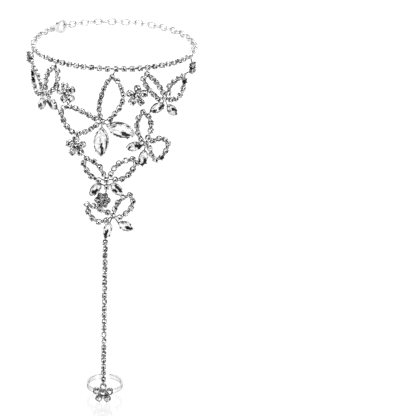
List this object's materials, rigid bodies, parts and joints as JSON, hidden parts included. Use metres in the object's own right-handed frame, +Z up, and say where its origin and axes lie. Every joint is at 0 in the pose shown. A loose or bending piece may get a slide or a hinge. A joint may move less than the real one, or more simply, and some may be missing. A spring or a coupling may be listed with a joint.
{
  "type": "barefoot sandal",
  "caption": "Barefoot sandal: a clasped anklet with a lace of butterflies and flowers in cup-set clear stones, and a drop chain down to a toe ring.",
  "frame": {"origin": "centre of the anklet's loop, where the ankle goes through", "axes": "+Z up along the leg, -Y the front of the foot, where the lace hangs"},
  "size_m": [0.0845, 0.0842, 0.1812],
  "materials": {
    "silver_metal": "polished",
    "pale_metal": "polished, paler",
    "ring_metal": "polished",
    "clear_stone": "clear faceted stone with a mirror foil on its back"
  },
  "bodies": {
    "sandal": {"anklet_strand": "silver_metal", "anklet_stones": "clear_stone", "extender_chain": "pale_metal", "clasp_chain": "pale_metal", "clasp_body": "pale_metal", "butterfly_side_left": "silver_metal", "butterfly_centre": "silver_metal", "butterfly_side_right": "silver_metal", "butterfly_mid_right": "silver_metal", "butterfly_lower": "silver_metal", "butterfly_bottom": "silver_metal", "side_left_oval_1": "clear_stone", "side_left_oval_2": "clear_stone", "centre_oval_1": "clear_stone", "centre_oval_2": "clear_stone", "side_right_oval_1": "clear_stone", "side_right_oval_2": "clear_stone", "mid_right_oval_1": "clear_stone", "mid_right_oval_2": "clear_stone", "lower_oval_1": "clear_stone", "lower_oval_2": "clear_stone", "bottom_oval_1": "clear_stone", "bottom_oval_2": "clear_stone", "flower_left": "silver_metal", "flower_right": "silver_metal", "flower_low": "silver_metal", "flower_left_stones": "clear_stone", "flower_right_stones": "clear_stone", "flower_low_stones": "clear_stone", "rosette_left": "silver_metal", "rosette_right": "silver_metal", "rosette_low": "silver_metal", "rosette_left_stones": "clear_stone", "rosette_right_stones": "clear_stone", "rosette_low_stones": "clear_stone", "drop_chain": "silver_metal", "drop_stones": "clear_stone", "toe_ring": "ring_metal", "toe_flower_stones": "clear_stone"},
    "lever": {"clasp_lever": "pale_metal"}
  },
  "joints": [
    {"name": "lever_hinge", "type": "hinge", "parent": "sandal", "child": "lever", "pos_m": [-0.02864, 0.02703, 0.0013], "axis": [-0.7278, 0.6858, 0], "range_deg": [0, 20], "stiffness_Nm_per_rad": 0.005, "springref_deg": -17.19}
  ]
}
